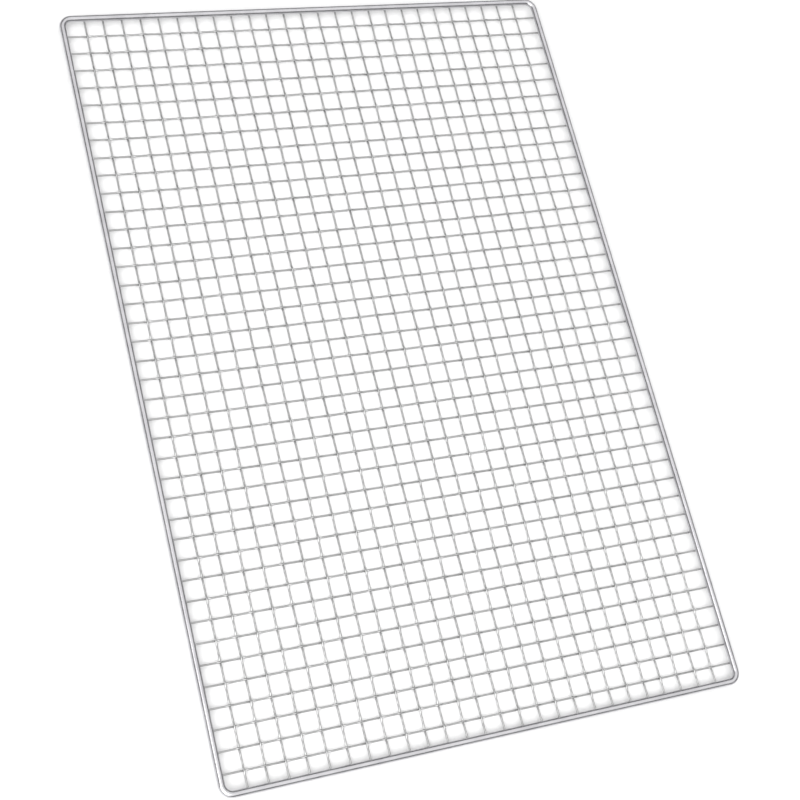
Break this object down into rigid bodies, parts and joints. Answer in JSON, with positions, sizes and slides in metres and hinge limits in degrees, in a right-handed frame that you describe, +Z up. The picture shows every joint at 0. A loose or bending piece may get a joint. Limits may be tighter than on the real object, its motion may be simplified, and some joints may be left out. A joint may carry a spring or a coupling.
{
  "type": "cooling rack",
  "caption": "Flat rectangular bakery cooling rack: a woven wire mesh whose wire ends are welded onto the underside of a round-rod frame with rounded corners.",
  "frame": {"origin": "centre of the rack's footprint, on the surface that the mesh rests on", "axes": "+X across the short side, +Y along the long side, +Z up, from the mesh towards the frame, which lies on top of the wire ends"},
  "size_m": [0.41, 0.6, 0.0087],
  "materials": {
    "frame_rod": "polished",
    "cross_wire": "satin",
    "long_wire": "satin"
  },
  "bodies": {
    "root": {"frame": "frame_rod", "cross_wire_01": "cross_wire", "cross_wire_02": "cross_wire", "cross_wire_03": "cross_wire", "cross_wire_04": "cross_wire", "cross_wire_05": "cross_wire", "cross_wire_06": "cross_wire", "cross_wire_07": "cross_wire", "cross_wire_08": "cross_wire", "cross_wire_09": "cross_wire", "cross_wire_10": "cross_wire", "cross_wire_11": "cross_wire", "cross_wire_12": "cross_wire", "cross_wire_13": "cross_wire", "cross_wire_14": "cross_wire", "cross_wire_15": "cross_wire", "cross_wire_16": "cross_wire", "cross_wire_17": "cross_wire", "cross_wire_18": "cross_wire", "cross_wire_19": "cross_wire", "cross_wire_20": "cross_wire", "cross_wire_21": "cross_wire", "cross_wire_22": "cross_wire", "cross_wire_23": "cross_wire", "cross_wire_24": "cross_wire", "cross_wire_25": "cross_wire", "cross_wire_26": "cross_wire", "cross_wire_27": "cross_wire", "cross_wire_28": "cross_wire", "cross_wire_29": "cross_wire", "cross_wire_30": "cross_wire", "cross_wire_31": "cross_wire", "cross_wire_32": "cross_wire", "cross_wire_33": "cross_wire", "cross_wire_34": "cross_wire", "cross_wire_35": "cross_wire", "cross_wire_36": "cross_wire", "cross_wire_37": "cross_wire", "cross_wire_38": "cross_wire", "cross_wire_39": "cross_wire", "long_wires_01": "long_wire", "long_wires_02": "long_wire", "long_wires_03": "long_wire", "long_wires_04": "long_wire", "long_wires_05": "long_wire", "long_wires_06": "long_wire", "long_wires_07": "long_wire", "long_wires_08": "long_wire", "long_wires_09": "long_wire", "long_wires_10": "long_wire", "long_wires_11": "long_wire", "long_wires_12": "long_wire", "long_wires_13": "long_wire"}
  },
  "joints": []
}
